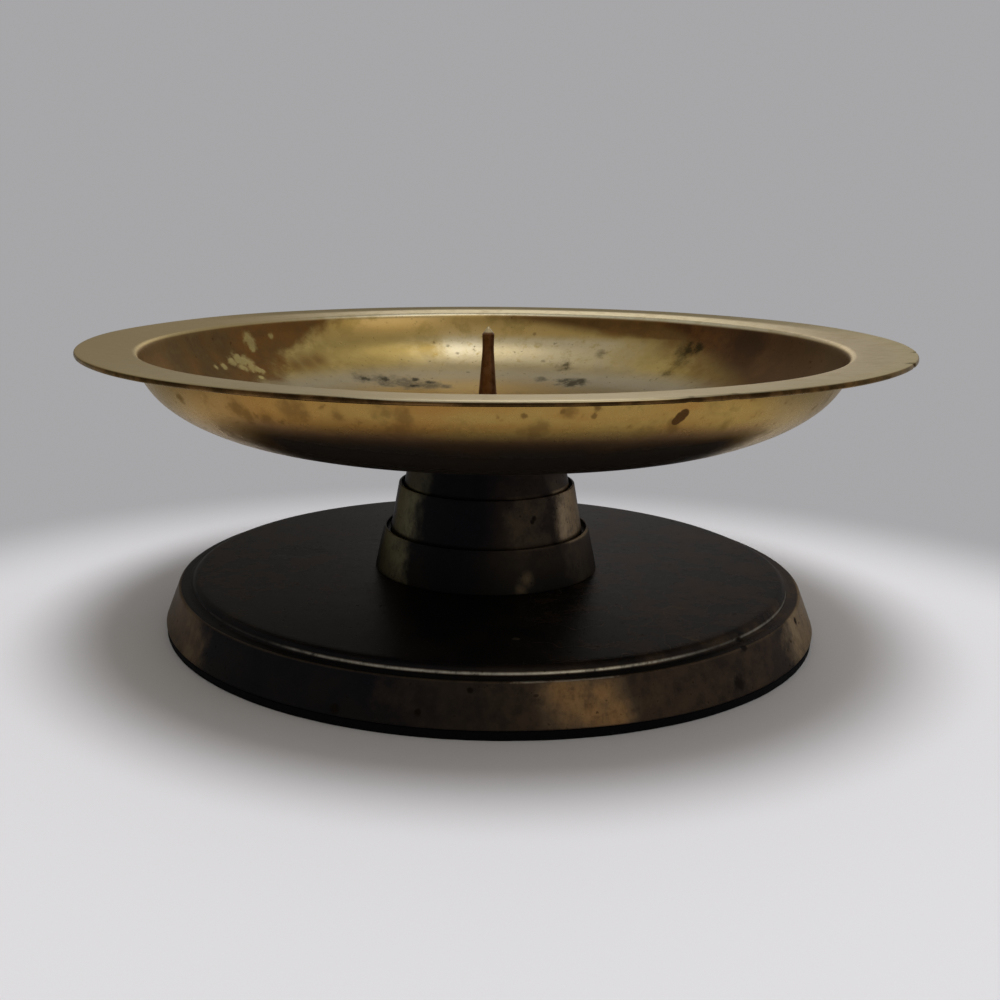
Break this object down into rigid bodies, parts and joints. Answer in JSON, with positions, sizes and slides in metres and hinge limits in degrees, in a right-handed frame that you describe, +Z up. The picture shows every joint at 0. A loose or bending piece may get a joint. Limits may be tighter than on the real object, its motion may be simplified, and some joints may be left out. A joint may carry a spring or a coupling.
{
  "type": "pricket candle stand",
  "caption": "Low candle stand: wide flanged spun dish with a central spike, short stem of stacked tapered collars, broad round stepped base on a dark pad.",
  "frame": {"origin": "centre of the pad's underside, on the surface that the stand rests on", "axes": "+Z up along the stand's axis, which is also the spike's; the stand is round, so X and Y are free, and +Y is away from the viewer"},
  "size_m": [0.2, 0.2, 0.0742],
  "materials": {
    "dish_brass": "aged spun brass, worn satin with brown patina",
    "spike_brass": "dark patina, bright at the point",
    "stem_brass": "dark bronze patina, pitted, worn bright at the edges",
    "base_brass": "dark purple-brown patina, matt, worn to brass on the side wall",
    "black_felt": "matt black felt",
    "hardboard": "raw hardboard",
    "fastener_steel": "zinc-plated steel"
  },
  "bodies": {
    "root": {"dish": "dish_brass", "pricket": "spike_brass", "stem_top_collar": "stem_brass", "stem_middle_collar": "stem_brass", "stem_lower_collar": "stem_brass", "base": "base_brass", "felt_pad": "black_felt", "backing_board": "hardboard", "tie_bolt": "fastener_steel", "tie_washer": "fastener_steel", "spring_washer": "fastener_steel"}
  },
  "joints": []
}
